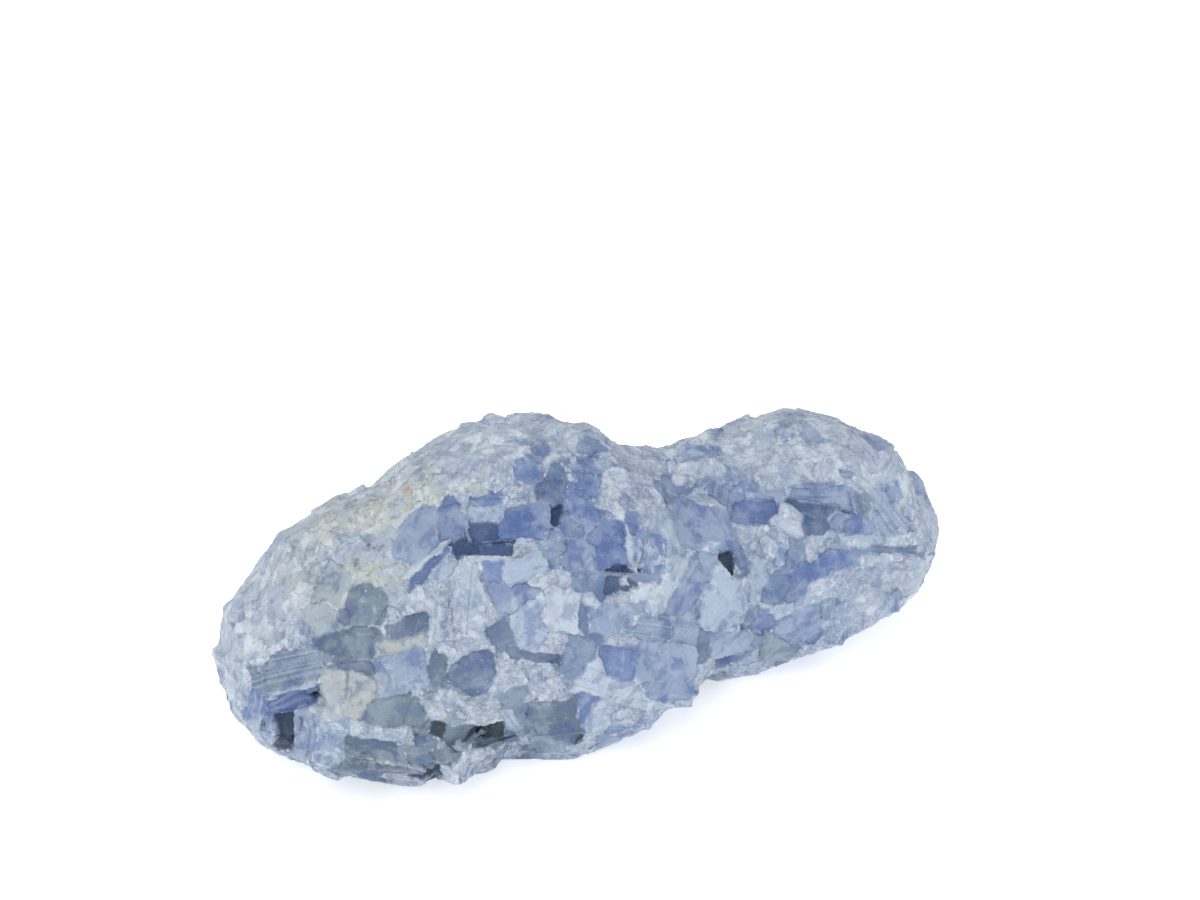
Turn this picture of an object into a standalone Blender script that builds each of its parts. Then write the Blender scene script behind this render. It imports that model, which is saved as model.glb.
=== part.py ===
"""A rough lump of blue calcite, broken from the vein as one piece.

It is one solid with two humps and a low waist between them. Its top, back and left end
are old weathered rind, smooth and bumpy. Its front, right end and underside are broken
faces, where the coarse grains stand as cleaved blocks with flat faces, ledges and notches.

Metres, +Z up. X runs along the lump, -Y is its broken front, and the origin is in the
middle of its footprint, on the surface that it rests on.
"""

import math
import random

import bmesh
import bpy
from mathutils import Matrix, Vector
from mathutils.bvhtree import BVHTree

NAME = "calcite_lump"

# Driving dimension. Every size below is in millimetres on a lump 116.5 mm long.
LENGTH = 0.1165
MM = LENGTH / 116.5
SEED = 11

# Humps of the lump: centre and half sizes along X, Y and Z.
HUMPS = (
    ((-14.5, 0.5, 22), (28.5, 24, 24)),
    ((-29, -7, 13), (24.5, 13.5, 14.5)),
    ((-42, 4.5, 15), (17, 17, 16)),
    ((-32.5, 4, 19), (20, 18.5, 20)),
    ((-5, -11, 12), (19.5, 12, 13)),
    ((6.5, -1.5, 17), (20, 18.5, 16.5)),
    ((17, 2.5, 18.5), (15.5, 15, 16)),
    ((22.5, -4.5, 9), (17, 13.5, 10)),
    ((33.5, 1.5, 17), (19.5, 17.5, 17.5)),
    ((32, -1.5, 13.5), (25.6, 17.5, 14.5)),
)
BODY_VOXEL = 1.8
BODY_SMOOTHING = 6
BODY_TRIANGLES = 1900
BUMP_SPACING = 7
BUMP_HEIGHT = 4.5

# Calcite cleaves to a rhomb whose edges all lean this far from the crystal's axis.
EDGE_LEAN = math.radians(63.7)
EDGES = [
    Vector((math.sin(EDGE_LEAN) * math.cos(turn), math.sin(EDGE_LEAN) * math.sin(turn), math.cos(EDGE_LEAN)))
    for turn in (0, math.tau / 3, 2 * math.tau / 3)
]
FACE_NORMAL = EDGES[0].cross(EDGES[1]).normalized()

# The broken grains: how far apart their middles are, the size of each, how far its face leans
# from the surface, and how far its highest corner stands out on a broken face and a worn one.
GRAIN_SPACING = 7.2
GRAIN_SIZE = (6, 9)
BROKEN_LEAN = math.radians(22)
WORN_LEAN = math.radians(9)
BROKEN_RISE = (1.0, 2.0)
WORN_RISE = (0.4, 0.9)
NAMED_RISE = 2.3
STEPPED = 0.45
STEP_RISE = (0.4, 1.0)
CLEAVED_OFF = 0.3
CLEAVED_DEPTH = (0.8, 1.8)
LOWEST_GRAIN = 2.5
LOWEST_WAY = -0.75

# Rind covers what faces this way, up, back and left, and broken grains the rest. The two ends
# of the lump are worn, so their grains stand out less.
RIND_WAY = Vector((-0.50, 0.60, 0.62)).normalized()
RIND_FROM = 0.53
RIND_GRAINS = 0.03
WORN_ENDS = (-46, 26)

# The sizes in this file are taken from a point this far from the middle of the footprint.
FOOTPRINT_MIDDLE = Vector((-0.85, -0.7, 0))

# The lump is studied from its front, a little to the left and above.
VIEWPOINT = Vector((-117.2, -252.4, 244.5))
LUMP_MIDDLE = Vector((-5, -3.5, 18))
VIEW_TURN = math.radians(-25)
VIEW_RISE = math.radians(36)
TO_VIEWER = Vector((
    math.sin(VIEW_TURN) * math.cos(VIEW_RISE),
    -math.cos(VIEW_TURN) * math.cos(VIEW_RISE),
    math.sin(VIEW_RISE),
))
TO_RIGHT = Vector((math.cos(VIEW_TURN), math.sin(VIEW_TURN), 0))
TO_TOP = TO_VIEWER.cross(TO_RIGHT)

# Large grains that stand out from the broken front. Each has its place across and up from the
# lump's middle, its size along the edge, across it and deep, its rise, the way that it faces as
# (right, up, towards the viewer), and the slope of its long edge in degrees.
BLOCKS = (
    ("striped slab", -43, -11, 11, 7, 8, 1.6, (-0.1, 0.3, 0.9), 14),
    ("left foot", -40, -20, 6, 9, 8, 1.5, (-0.2, 0.0, 1.0), 80),
    ("pale wedge", -32, 0, 7, 8, 8, 1.4, (-0.3, 0.2, 0.9), 60),
    ("grey block", -25, 2, 8, 8, 8, 1.6, (0.2, 0.3, 0.9), 20),
    ("cream block", -24, -9, 10, 8, 9, 2.0, (-0.2, 0.4, 0.9), 16),
    ("low cream block", -30, -17, 9, 9, 8, 1.6, (-0.3, 0.1, 0.9), 70),
    ("middle column", -15, -3, 6, 12, 8, 1.5, (0.1, 0.3, 0.9), 82),
    ("bright face", -2, -2, 6, 6.5, 6, 1.7, (-0.1, 0.5, 0.8), 75),
    ("bright flake", -8.5, 5, 7, 4, 5, 1.6, (0.0, 0.6, 0.8), 25),
    ("upper shelf", -20, 12, 11, 6, 7, 1.2, (-0.3, 0.6, 0.7), 38),
    ("blue face", 6.5, 9, 8, 8, 7, 1.2, (0.3, 0.2, 0.9), 70),
    ("slanting flake", 8, 17, 9, 6, 6, 1.3, (0.3, 0.6, 0.7), -35),
    ("long bar", 15, 2, 11, 2.6, 5, 1.7, (0.3, 0.1, 0.9), 58),
    ("blue bar", 11, -4, 7, 3, 5, 1.6, (0.1, 0.2, 0.9), -5),
    ("wide smooth face", 12.5, -11, 12, 11, 10, 1.6, (0.25, 0.0, 1.0), -8),
    ("flat face", 6, -9, 8, 9, 8, 1.5, (-0.1, 0.1, 1.0), 10),
    ("striped foot", 6, -15, 11, 5, 7, 1.0, (0.1, 0.4, 0.9), -20),
    ("dark round face", -19, -15, 8, 7, 7, 0.9, (-0.1, -0.2, 1.0), 15),
    ("low front face", -5, -18, 12, 7, 8, 1.2, (0.1, -0.1, 1.0), 6),
    ("low left face", -24, -25, 12, 6, 8, 0.5, (-0.2, -0.2, 1.0), -12),
    ("waist knob", 17.5, 10, 10, 9, 8, 1.8, (0.1, 0.3, 0.9), 20),
    ("waist slope", 21, 0, 9, 11, 8, 1.2, (0.2, 0.4, 0.9), 70),
    ("oval face", 23, -8, 7, 4.5, 6, 1.2, (0.2, 0.1, 1.0), 20),
    ("small dark grain", 30, -1, 4, 5, 5, 1.5, (0.1, 0.2, 0.9), 80),
    ("small low grain", 29, -6.5, 3.5, 5, 5, 1.2, (0.2, 0.2, 0.9), -60),
    ("right slab", 41, 0, 16, 8, 9, 1.0, (0.3, 0.0, 1.0), 10),
    ("right ledge", 41, 7, 18, 4.5, 8, 0.7, (0.2, 0.4, 0.9), 9),
    ("striped corner", 47, 12, 7, 6, 6, 0.5, (0.5, 0.3, 0.8), -40),
    ("right low face", 35, -6, 9, 6, 7, 0.7, (0.1, 0.0, 1.0), 16),
    ("ledge under the cave", -6.5, -24.5, 12, 4, 7, 1.6, (0.0, -0.2, 1.0), 3),
)

# Notches and hollows between the grains, given in the same way. The depth is below the surface.
NOTCHES = (
    ("gap by the striped slab", -44.5, -19, 3, 6.5, 7, (-0.1, 0.1, 1.0), 85),
    ("shadow under the slab", -43, -15.5, 10, 2.2, 3.5, (-0.1, 0.1, 1.0), 14),
    ("long blue recess", -13, 13.5, 17, 5.5, 2.6, (-0.1, 0.7, 0.7), 12),
    ("left notch", -14.5, 10.5, 4, 3, 4.5, (0.0, 0.3, 0.9), 15),
    ("middle notch", -11.5, 8, 4.6, 2.2, 4, (0.0, 0.3, 0.9), 5),
    ("small notch", -3, 13.5, 1.6, 2.4, 3.5, (0.0, 0.3, 0.9), 85),
    ("right notch", 6.5, 3.3, 4.4, 3.4, 4.5, (0.0, 0.2, 1.0), -5),
    ("waist notch", 22, 6, 5.5, 2.4, 5.5, (0.2, 0.1, 1.0), -62),
    ("crack across the right hump", 44, 4.5, 20, 1.1, 2.2, (0.1, 0.1, 1.0), 9),
    ("hollow in the right hump", 37, 14, 10, 5, 2.0, (0.1, 0.5, 0.8), 0),
    ("second hollow", 27, 14, 6, 4, 1.6, (0.1, 0.5, 0.8), -5),
    ("cave under the front", -14, -21, 13, 3.6, 4.5, (0.0, 0.1, 1.0), 3),
    ("low notch", -22, -26, 3.5, 2.4, 4, (0.0, 0.1, 1.0), 20),
    ("dark wedge by the wide face", 19, -13, 4, 4, 3, (0.4, -0.2, 0.9), 50),
    ("arch under the waist", 11.5, -19.5, 9, 5, 8, (0.1, -0.1, 1.0), 20),
    ("nick in the foot", 2, -21.5, 4, 4, 8, (0.1, -0.1, 1.0), 40),
)


def clear_scene():
    for obj in list(bpy.data.objects):
        bpy.data.objects.remove(obj)


def collection(name):
    made = bpy.data.collections.new(name)
    bpy.context.scene.collection.children.link(made)
    return made


def add_object(name, work, into):
    """An object of what the bmesh holds, which is then freed."""
    mesh = bpy.data.meshes.new(name)
    work.to_mesh(mesh)
    work.free()
    obj = bpy.data.objects.new(name, mesh)
    into.objects.link(obj)
    return obj


def add_body(into):
    """The lump before it was broken: its humps in one skin, with the rind's soft bumps."""
    work = bmesh.new()
    for centre, half in HUMPS:
        place = Matrix.Translation(Vector(centre) * MM) @ Matrix.Diagonal(Vector(half) * MM).to_4x4()
        bmesh.ops.create_uvsphere(work, u_segments=48, v_segments=24, radius=1, matrix=place)
    body = add_object(NAME, work, into)
    skin = body.modifiers.new("one skin", "REMESH")
    skin.mode = "VOXEL"
    skin.voxel_size = BODY_VOXEL * MM
    soften = body.modifiers.new("soften", "SMOOTH")
    soften.iterations = BODY_SMOOTHING
    clouds = bpy.data.textures.new("rind bumps", "CLOUDS")
    clouds.noise_scale = BUMP_SPACING * MM
    clouds.noise_depth = 2
    bumps = body.modifiers.new("rind bumps", "DISPLACE")
    bumps.texture = clouds
    bumps.texture_coords = "LOCAL"
    bumps.strength = BUMP_HEIGHT * MM
    fewer = body.modifiers.new("fewer faces", "DECIMATE")
    return body, fewer


def evaluated_mesh(obj):
    bpy.context.view_layer.update()
    graph = bpy.context.evaluated_depsgraph_get()
    return bpy.data.meshes.new_from_object(obj.evaluated_get(graph))


def surface_of(obj):
    """A search tree of the surface, and its points, each with its normal."""
    mesh = evaluated_mesh(obj)
    tree = BVHTree.FromPolygons([v.co for v in mesh.vertices], [p.vertices for p in mesh.polygons])
    points = [(v.co.copy(), v.normal.copy()) for v in mesh.vertices]
    return tree, points


def in_view_terms(way):
    """A direction given as (right, up, towards the viewer), in the lump's own axes."""
    right, up, near = way
    return (TO_RIGHT * right + TO_TOP * up + TO_VIEWER * near).normalized()


def seen_at(tree, across, up):
    """The point of the surface seen this far across and up from the middle, or the nearest one."""
    target = (LUMP_MIDDLE + TO_RIGHT * across + TO_TOP * up) * MM
    eye = VIEWPOINT * MM
    seen = tree.ray_cast(eye, (target - eye).normalized())[0]
    return seen or tree.find_nearest(target)[0]


def crystal_turn(facing, long_edge):
    """The rotation that lays a cleavage face to face this way, with an edge along the other."""
    across = facing.cross(long_edge).normalized()
    along = across.cross(facing).normalized()
    to_world = Matrix((along, across, facing)).transposed()
    own_across = FACE_NORMAL.cross(EDGES[0]).normalized()
    own = Matrix((EDGES[0], own_across, FACE_NORMAL)).transposed()
    return to_world @ own.transposed()


def add_rhomb(work, face_middle, turn, size):
    """A cleavage rhomb with the middle of its outer face here, and its depth below that face."""
    edges = [(turn @ edge) * length for edge, length in zip(EDGES, size)]
    shape = Matrix(edges).transposed()
    middle = face_middle - edges[2] / 2
    bmesh.ops.create_cube(work, size=1, matrix=Matrix.Translation(middle) @ shape.to_4x4())


def add_block(into, face_middle, turn, size):
    work = bmesh.new()
    add_rhomb(work, face_middle, turn, size)
    return add_object("block", work, into)


def sunk(tree, place, turn, size, most):
    """The place of an outer face moved in until no corner of it stands out more than this."""
    highest = -math.inf
    for half in ((-0.5, -0.5), (-0.5, 0.5), (0.5, -0.5), (0.5, 0.5)):
        corner = place + (turn @ (EDGES[0] * half[0] * size[0] + EDGES[1] * half[1] * size[1])) * MM
        near, normal, _, _ = tree.find_nearest(corner)
        highest = max(highest, (corner - near).dot(normal))
    return place - (turn @ FACE_NORMAL) * max(highest - most * MM, 0)


def add_grain(blocks, cuts, place, turn, size, chance):
    """A grain, mostly with a second cleavage step on it or a corner cleaved off it."""
    add_block(blocks, place, turn, [side * MM for side in size])
    if chance.random() > STEPPED:
        return
    part = [size[0] * chance.uniform(0.4, 0.7), size[1] * chance.uniform(0.4, 0.8), size[2]]
    corner = Vector((0, 0, 0))
    for k in (0, 1):
        corner += (turn @ EDGES[k]) * (size[k] - part[k]) * chance.choice((-0.4, 0.4)) * MM
    outward = (turn @ FACE_NORMAL) * chance.uniform(*STEP_RISE) * MM
    if chance.random() < 0.5:
        add_block(blocks, place + corner + outward, turn, [side * MM for side in part])
    else:
        reach = (turn @ EDGES[2]) * size[2] * MM
        add_block(cuts, place + corner * 1.6 - outward + reach, turn, [side * MM for side in part])


def add_named_grains(blocks, cuts, tree, chance):
    """The grains and notches that are told apart on the broken front. Returns their places."""
    places = []
    for _, across, up, long, wide, deep, rise, way, slope in BLOCKS:
        facing = in_view_terms(way)
        edge = in_view_terms((math.cos(math.radians(slope)), math.sin(math.radians(slope)), 0))
        turn = crystal_turn(facing, edge)
        seen = seen_at(tree, across, up)
        size = (long, wide, deep)
        place = sunk(tree, seen + facing * rise * MM, turn, size, NAMED_RISE)
        add_grain(blocks, cuts, place, turn, size, chance)
        places.append(seen)
    for _, across, up, long, wide, depth, way, slope in NOTCHES:
        facing = in_view_terms(way)
        edge = in_view_terms((math.cos(math.radians(slope)), math.sin(math.radians(slope)), 0))
        turn = crystal_turn(facing, edge)
        seen = seen_at(tree, across, up)
        reach = 8
        above = seen + (turn @ EDGES[2]) * reach * MM
        add_block(cuts, above, turn, (long * MM, wide * MM, (depth + reach) * MM))
        places.append(seen)
    return places


def add_scattered_grains(blocks, cuts, tree, points, taken, chance):
    """Grains over the rest of the broken surface, no two nearer than the spacing."""
    order = list(points)
    chance.shuffle(order)
    for seen, normal in order:
        if normal.z < LOWEST_WAY or seen.z < LOWEST_GRAIN * MM:
            continue
        rind = normal.dot(RIND_WAY) > RIND_FROM
        if rind and chance.random() > RIND_GRAINS:
            continue
        if any((seen - other).length < GRAIN_SPACING * MM for other in taken):
            continue
        taken.append(seen)
        worn = rind or not WORN_ENDS[0] * MM < seen.x < WORN_ENDS[1] * MM
        lean = Vector([chance.gauss(0, 1) for _ in range(3)]).normalized()
        lean *= math.tan(WORN_LEAN if worn else BROKEN_LEAN) * chance.random()
        facing = (normal + lean).normalized()
        turn = crystal_turn(facing, Vector([chance.gauss(0, 1) for _ in range(3)]))
        size = [chance.uniform(*GRAIN_SIZE) for _ in range(3)]
        if chance.random() < CLEAVED_OFF and not worn:
            depth = chance.uniform(*CLEAVED_DEPTH) * MM
            above = seen - facing * depth + (turn @ EDGES[2]) * size[2] * MM
            add_block(cuts, above, turn, [side * MM for side in size])
            continue
        most = chance.uniform(*(WORN_RISE if worn else BROKEN_RISE))
        place = sunk(tree, seen + facing * 2 * MM, turn, size, most)
        add_grain(blocks, cuts, place, turn, size, chance)


def boolean(obj, name, operation, others):
    modifier = obj.modifiers.new(name, "BOOLEAN")
    modifier.operation = operation
    modifier.operand_type = "COLLECTION"
    modifier.collection = others


def cut_flat(lump, helpers):
    """The flat underside that the lump rests on."""
    work = bmesh.new()
    size = Matrix.Diagonal((2 * LENGTH, 2 * LENGTH, LENGTH, 1))
    bmesh.ops.create_cube(work, size=1, matrix=Matrix.Translation((0, 0, -LENGTH / 2)) @ size)
    modifier = lump.modifiers.new("flat underside", "BOOLEAN")
    modifier.operation = "DIFFERENCE"
    modifier.object = add_object("ground", work, helpers)


def calcite():
    material = bpy.data.materials.new("blue calcite")
    material.use_nodes = True
    shader = material.node_tree.nodes["Principled BSDF"]
    shader.inputs["Base Color"].default_value = (0.36, 0.47, 0.68, 1)
    shader.inputs["Roughness"].default_value = 0.38
    return material


def main():
    clear_scene()
    chance = random.Random(SEED)
    lump, fewer = add_body(collection("blue calcite"))
    tree, points = surface_of(lump)
    full = len(evaluated_mesh(lump).polygons) * 2
    fewer.ratio = BODY_TRIANGLES / full
    blocks = collection("grains to join")
    cuts = collection("notches to cut")
    taken = add_named_grains(blocks, cuts, tree, chance)
    add_scattered_grains(blocks, cuts, tree, points, taken, chance)
    boolean(lump, "join the grains", "UNION", blocks)
    boolean(lump, "cut the notches", "DIFFERENCE", cuts)
    below = collection("below the underside")
    cut_flat(lump, below)
    lump.data.materials.append(calcite())

    footprint = bpy.data.objects.new("middle of the footprint", None)
    footprint.location = -FOOTPRINT_MIDDLE * MM
    bpy.context.scene.collection.objects.link(footprint)
    lump.parent = footprint
    for helper in [*blocks.objects, *cuts.objects, *below.objects]:
        helper.parent = footprint
        helper.hide_render = True
        helper.display_type = "WIRE"


main()
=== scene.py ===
import math
import random

import bmesh
import bpy
import numpy as np
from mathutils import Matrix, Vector, noise
from mathutils.bvhtree import BVHTree
from mathutils.kdtree import KDTree


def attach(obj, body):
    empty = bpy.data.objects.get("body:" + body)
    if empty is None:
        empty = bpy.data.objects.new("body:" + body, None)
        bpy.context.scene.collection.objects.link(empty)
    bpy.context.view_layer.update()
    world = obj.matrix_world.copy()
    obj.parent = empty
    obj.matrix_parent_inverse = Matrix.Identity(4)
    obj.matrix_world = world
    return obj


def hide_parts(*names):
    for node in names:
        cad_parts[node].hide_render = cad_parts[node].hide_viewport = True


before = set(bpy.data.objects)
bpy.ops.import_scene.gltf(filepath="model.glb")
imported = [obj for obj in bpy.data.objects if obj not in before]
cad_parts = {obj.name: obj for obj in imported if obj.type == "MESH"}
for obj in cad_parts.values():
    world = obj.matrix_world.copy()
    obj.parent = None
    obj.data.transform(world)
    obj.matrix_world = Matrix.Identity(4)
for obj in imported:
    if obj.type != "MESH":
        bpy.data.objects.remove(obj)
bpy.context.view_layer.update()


# The view. A camera looks down on the lump from its front and a little from its left, at the
# photograph's angle. The ways to the right, to the top and to the viewer place what is seen.
MM = 0.001
VIEW_TURN = math.radians(-25)
VIEW_RISE = math.radians(36)
VIEW_DISTANCE = 354
AIM = Vector((4.65, 7.9, 36.4))
LUMP_MIDDLE = Vector((-4.15, -2.8, 18))
LENS = 70
SENSOR_WIDTH = 36
CLIP_START = 0.01
TO_VIEWER = Vector((
    math.sin(VIEW_TURN) * math.cos(VIEW_RISE),
    -math.cos(VIEW_TURN) * math.cos(VIEW_RISE),
    math.sin(VIEW_RISE),
))
TO_RIGHT = Vector((math.cos(VIEW_TURN), math.sin(VIEW_TURN), 0))
TO_TOP = TO_VIEWER.cross(TO_RIGHT)
EYE = AIM + TO_VIEWER * VIEW_DISTANCE

camera = bpy.data.objects.new("camera", bpy.data.cameras.new("camera"))
camera.data.lens = LENS
camera.data.sensor_width = SENSOR_WIDTH
camera.data.clip_start = CLIP_START
camera.location = EYE * MM
camera.rotation_mode = "QUATERNION"
camera.rotation_quaternion = (-TO_VIEWER).to_track_quat("-Z", "Y")
bpy.context.scene.collection.objects.link(camera)
bpy.context.scene.camera = camera


# The broken lump. Blue calcite in coarse grains that grew locked together, broken out of a vein
# as one piece, with worn rind on top and to the left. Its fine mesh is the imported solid's, made
# even. Each grain then breaks along a plane of its own, so its face tilts and steps a little.
SEED = 5
TINY = 1e-6
MESH_STEP = 0.3
MOST_TRIANGLES = 190000
SHARP_TURN = math.radians(34)
FACET_TURN = math.radians(20)
EDGE_POINT_STEP = 0.4
SOFT_PASSES = 300
ROUNDS = 2
HIGHEST = 1.2
DEEPEST = 0.35
RING_POINTS = 12
LEVEL_DEPTH = 9
LEVEL_MARGIN = 1
LEVELLED_FROM = -0.2

chance = random.Random(SEED)
stone_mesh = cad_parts["calcite_lump"].data.copy()
weld = bmesh.new()
weld.from_mesh(stone_mesh)
bmesh.ops.remove_doubles(weld, verts=weld.verts, dist=TINY)
weld.to_mesh(stone_mesh)
coarse_tree = BVHTree.FromBMesh(weld)


def seen_at(across, up):
    """The lump's point that the camera sees at a place across and up from the lump's middle."""
    through = LUMP_MIDDLE + TO_RIGHT * across + TO_TOP * up
    hit = coarse_tree.ray_cast(EYE * MM, (through - EYE).normalized())[0]
    return (hit if hit else coarse_tree.find_nearest(through * MM)[0]) / MM


# Round each of these places seen from the front the surface is levelled, to be broken afresh
# below in the shape of the grain that came away there. Each has its reach in mm.
LEVELLED = [
    (-14.5, 10.5, 3.4),
    (-11.5, 8, 3.2),
    (-3, 13.5, 2.2),
    (6.5, 3.3, 3.6),
    (22.5, 6, 4.4),
    (-22, -26, 2.4),
    (-19.5, -20.8, 3),
    (-13, -20.8, 4),
    (2, -21, 3),
    (19, -13, 3.2),
    (35.5, 3, 2.4),
    (38.5, 3.6, 2.4),
    (41.5, 4.2, 2.4),
    (44.5, 4.8, 2),
    (-44.6, -18.8, 3.8),
    (-43.5, -15.5, 4),
    (-48, -17, 2.4),
]
levels = []
for across, up, reach in LEVELLED:
    ring = [
        np.array(seen_at(
            across + reach * math.cos(math.tau * k / RING_POINTS),
            up + reach * math.sin(math.tau * k / RING_POINTS),
        ))
        for k in range(RING_POINTS)
    ]
    middle = np.mean(ring, axis=0)
    way = np.linalg.svd(ring - middle)[2][2]
    levels.append((middle, way, reach))

# Points along the solid's sharp edges: those that stand out and those in creases.
ridge_points = []
crevice_points = []
for edge in weld.edges:
    if len(edge.link_faces) != 2:
        continue
    turn = edge.calc_face_angle_signed()
    if abs(turn) < FACET_TURN:
        continue
    start, end = (vertex.co / MM for vertex in edge.verts)
    midway = np.array((start + end) / 2)
    if any(np.linalg.norm(midway - middle) < reach + LEVEL_MARGIN for middle, _, reach in levels):
        continue
    steps = max(1, math.ceil((end - start).length / EDGE_POINT_STEP))
    edge_points = [start.lerp(end, (k + 0.5) / steps) for k in range(steps)]
    (ridge_points if turn > 0 else crevice_points).extend(edge_points)
weld.free()

lump = bpy.data.objects.new("calcite_stone", stone_mesh)
bpy.context.scene.collection.objects.link(lump)


def with_modifier(thing, name, kind, **settings):
    """Changes an object's mesh by one modifier."""
    modifier = thing.modifiers.new(name, kind)
    for setting, value in settings.items():
        setattr(modifier, setting, value)
    evaluated = thing.evaluated_get(bpy.context.evaluated_depsgraph_get())
    made = bpy.data.meshes.new_from_object(evaluated)
    thing.modifiers.clear()
    thing.data = made


def values_of(mesh, name):
    """The places or the normals of a mesh's points, one row each."""
    flat_list = np.empty(len(mesh.vertices) * 3, np.float32)
    mesh.vertices.foreach_get(name, flat_list)
    return flat_list.reshape(-1, 3).astype(float)


with_modifier(lump, "even mesh", "REMESH", mode="VOXEL", voxel_size=MESH_STEP * MM)
points = values_of(lump.data, "co") / MM
normals = values_of(lump.data, "normal")
to_viewer = np.array(TO_VIEWER)
for middle, way, reach in levels:
    off = points - middle
    sunk = -(off @ way) / (to_viewer @ way)
    landing = np.linalg.norm(off + sunk[:, None] * to_viewer, axis=1)
    moves = (0 < sunk) & (sunk < LEVEL_DEPTH) & (landing < reach)
    moves &= normals @ to_viewer > LEVELLED_FROM
    points[moves] += sunk[moves][:, None] * to_viewer
lump.data.vertices.foreach_set("co", (points * MM).astype(np.float32).ravel())
with_modifier(lump, "even again", "REMESH", mode="VOXEL", voxel_size=MESH_STEP * MM)
count = len(lump.data.vertices)
points = values_of(lump.data, "co") / MM

# The solid's own steps and creases are made lower, for the grains' broken faces to show on them.
for _ in range(ROUNDS):
    uneven_mesh = lump.data.copy()
    with_modifier(lump, "soften", "SMOOTH", iterations=SOFT_PASSES)
    soft_points = values_of(lump.data, "co") / MM
    normals = values_of(lump.data, "normal")
    lump.data = uneven_mesh
    stands_out = ((points - soft_points) * normals).sum(axis=1)
    kept_out = np.where(
        stands_out > 0,
        HIGHEST * np.tanh(stands_out / HIGHEST),
        DEEPEST * np.tanh(stands_out / DEEPEST),
    )
    points += normals * (kept_out - stands_out)[:, None]
    lump.data.vertices.foreach_set("co", (points * MM).astype(np.float32).ravel())


def distances_to(places):
    """How far each of the lump's points is from the nearest of some places."""
    tree = KDTree(len(places))
    for index, place in enumerate(places):
        tree.insert(place, index)
    tree.balance()
    return np.array([tree.find(point)[2] for point in points])


ridge = distances_to(ridge_points)
crevice = distances_to(crevice_points)

NOISE_SHIFTS = (17.3, 5.1, -9.7)


def noise_at(places, size, seed, layers=1):
    """Soft noise, mostly within -0.5 and 0.5, with lumps of the given size in mm."""
    shift = Vector([seed * part for part in NOISE_SHIFTS])
    return np.array([
        noise.fractal(Vector(place) / size + shift, 1.0, 2.0, layers) for place in places
    ])


def screen_colour(red, green, blue):
    """A colour as a screen shows it, 0 to 255, in the linear values that the shader takes."""
    shares = np.array((red, green, blue)) / 255
    return np.where(shares < 0.04045, shares / 12.92, ((shares + 0.055) / 1.055) ** 2.4)


# What the stone's colours are called here, as a screen shows them.
COLOURS = {
    # The first colour here is painted shade for the notches.
    "notch shade ink": screen_colour(22, 44, 70),
    "navy": screen_colour(34, 58, 100),
    "depth": screen_colour(66, 92, 146),
    "deep blue": screen_colour(82, 106, 158),
    "blue": screen_colour(98, 122, 170),
    "steel blue": screen_colour(98, 122, 154),
    "slate": screen_colour(70, 90, 124),
    "slate green": screen_colour(84, 104, 123),
    "shaded slate": screen_colour(66, 86, 106),
    # Slate darkened as painted shade, for faces low on the lump.
    "slate blue": screen_colour(58, 82, 124),
    "lilac": screen_colour(120, 137, 172),
    "light blue": screen_colour(134, 152, 182),
    "pale": screen_colour(164, 179, 199),
    "white": screen_colour(194, 205, 215),
    "bright white": screen_colour(214, 222, 229),
    "cream": screen_colour(180, 185, 181),
    "frost shade": screen_colour(102, 121, 157),
    "rind grey": screen_colour(167, 180, 199),
    "grey green": screen_colour(114, 132, 143),
    # Painted shade for the caves.
    "cave shade green": screen_colour(32, 50, 56),
    "ochre": screen_colour(178, 148, 106),
    "warm cream": screen_colour(188, 192, 178),
    "sage": screen_colour(156, 169, 175),
    "pit green": screen_colour(122, 136, 136),
}

# The hues of the lump's regions, each round a place seen from the front, with its reach in mm.
REGIONS = [
    (-46, -8, 8, "lilac"),
    (-36, 9, 11, "cream"),
    (-31, -5, 9, "grey green"),
    (-24, -20, 8, "grey green"),
    (-30, -25, 9, "slate green"),
    (-18, -25, 8, "slate green"),
    (-29, -17, 8, "slate green"),
    (-10, -20, 8, "grey green"),
    (-11, 11, 8, "blue"),
    (-8, -3, 8, "pale"),
    (6, 7, 7, "deep blue"),
    (5, -10, 9, "light blue"),
    (20, 2, 8, "pale"),
    (34, 12, 11, "lilac"),
    (38, -3, 11, "light blue"),
    (50, 8, 8, "pale"),
]

# The front's own worn places, besides the rind that faces up and back, each with its reach in mm.
WORN_PLACES = [
    (19, 21.5, 4.5),
    (26, 22.5, 6),
    (34, 23, 7),
    (42, 21, 6),
    (48, 18, 5),
    (52.5, 11, 5),
    (50, 2, 5.5),
    (44, -2, 5),
    (-47, 2, 6),
]
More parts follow.
